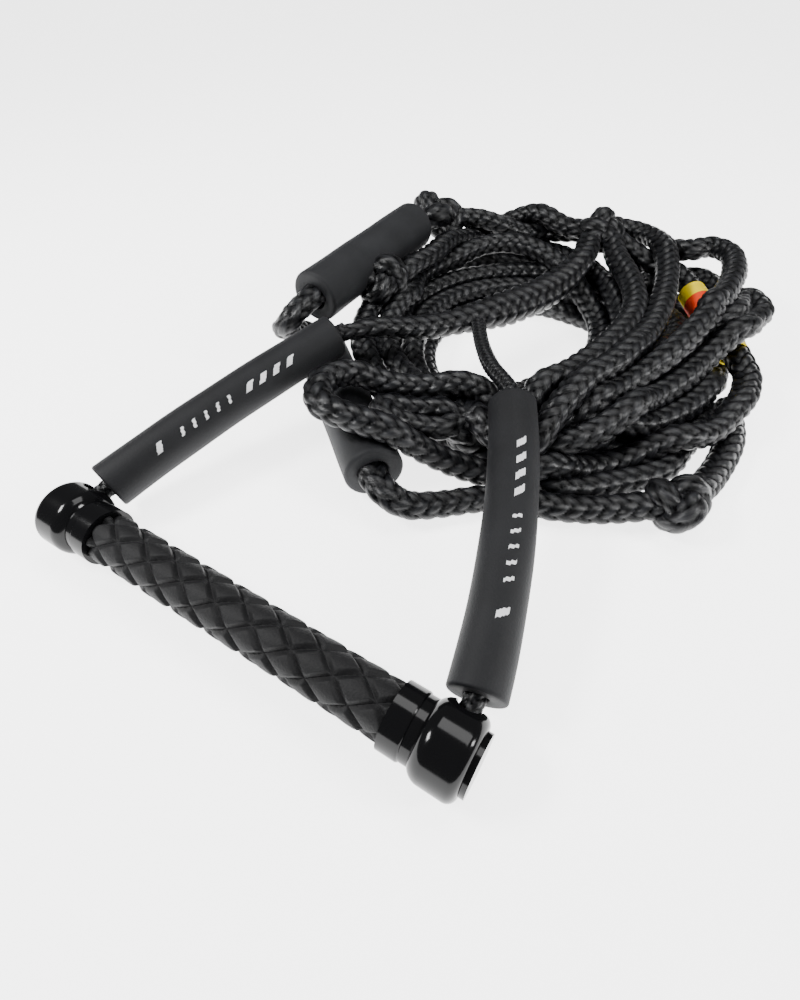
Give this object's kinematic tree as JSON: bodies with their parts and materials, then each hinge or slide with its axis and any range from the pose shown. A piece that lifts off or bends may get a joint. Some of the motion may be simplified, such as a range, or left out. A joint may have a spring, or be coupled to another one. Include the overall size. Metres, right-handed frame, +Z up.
{
  "type": "tow rope handle",
  "caption": "Padded tow handle with bulbous end caps, a foam-sleeved rope bridle and a thick braided rope in a loose pile with foam floats and a marker sleeve.",
  "frame": {"origin": "floor level under the middle of the box round the handle bar and the two bridle sleeves", "axes": "+X along the bar to its right end, +Y from the bar towards the rope pile, +Z up from the floor"},
  "size_m": [0.3321, 0.5303, 0.0806],
  "materials": {
    "tube": "plain drawn tube",
    "core": "closed-cell foam plug",
    "grip": "matte moulded foam with a deep diamond quilt",
    "caps": "polished black",
    "bridle_rope": "braided, slightly glossy fibre",
    "sleeves": "matte extruded foam",
    "floats": "matte extruded foam",
    "tow_rope": "thick hollow braid, slightly glossy fibre",
    "marker": "bright yellow shrink tube",
    "marker_band": "printed red-orange band"
  },
  "bodies": {
    "rope": {"stopper_knot_left": "bridle_rope", "stopper_knot_right": "bridle_rope", "bridle_leg_left": "bridle_rope", "bridle_leg_right": "bridle_rope", "bridle_lead": "bridle_rope", "bridle_splice": "tow_rope", "rope_pile": "tow_rope", "rope_heap": "tow_rope", "marker_rope": "tow_rope", "float_rope": "tow_rope", "outer_run": "tow_rope", "left_loop": "tow_rope", "back_run": "tow_rope", "knot_right": "tow_rope", "knot_top": "tow_rope", "knot_rear": "tow_rope", "knot_front": "tow_rope", "tow_eye": "tow_rope", "eye_splice": "tow_rope"},
    "handle": {"handle_tube": "tube", "tube_foam_core": "core", "grip": "grip", "cap_left": "caps", "cap_right": "caps", "end_plug_left": "caps", "end_plug_right": "caps"},
    "sleeve_left": {"sleeve_left": "sleeves"},
    "sleeve_right": {"sleeve_right": "sleeves"},
    "float_front": {"float_front": "floats"},
    "float_rear": {"float_rear": "floats"},
    "marker": {"marker_sleeve": "marker", "marker_band": "marker_band"}
  },
  "joints": [
    {"name": "handle_roll", "type": "hinge", "parent": "rope", "child": "handle", "pos_m": [0, -0.08584, 0.0193], "axis": [1, 0, 0], "range_deg": [-20, 20]},
    {"name": "sleeve_left_slide", "type": "hinge", "parent": "rope", "child": "sleeve_left", "pos_m": [0.95076, -0.28576, -0.01956], "axis": [0, 0.1908, -0.9816], "range_deg": [-0.052, 0.262]},
    {"name": "sleeve_right_slide", "type": "hinge", "parent": "rope", "child": "sleeve_right", "pos_m": [-0.48217, -0.18799, -0.00056], "axis": [0, -0.1908, 0.9816], "range_deg": [-0.093, 0.744]},
    {"name": "float_front_slide", "type": "slide", "parent": "rope", "child": "float_front", "axis": [-0.7702, 0.6378, 0], "range_m": [-0.008, 0.008]},
    {"name": "float_rear_slide", "type": "slide", "parent": "rope", "child": "float_rear", "axis": [0.0119, 0.9995, 0.0297], "range_m": [-0.008, 0.006]},
    {"name": "marker_slide", "type": "slide", "parent": "rope", "child": "marker", "axis": [0.5956, -0.7969, -0.1007], "range_m": [-0.01, 0.01]}
  ]
}
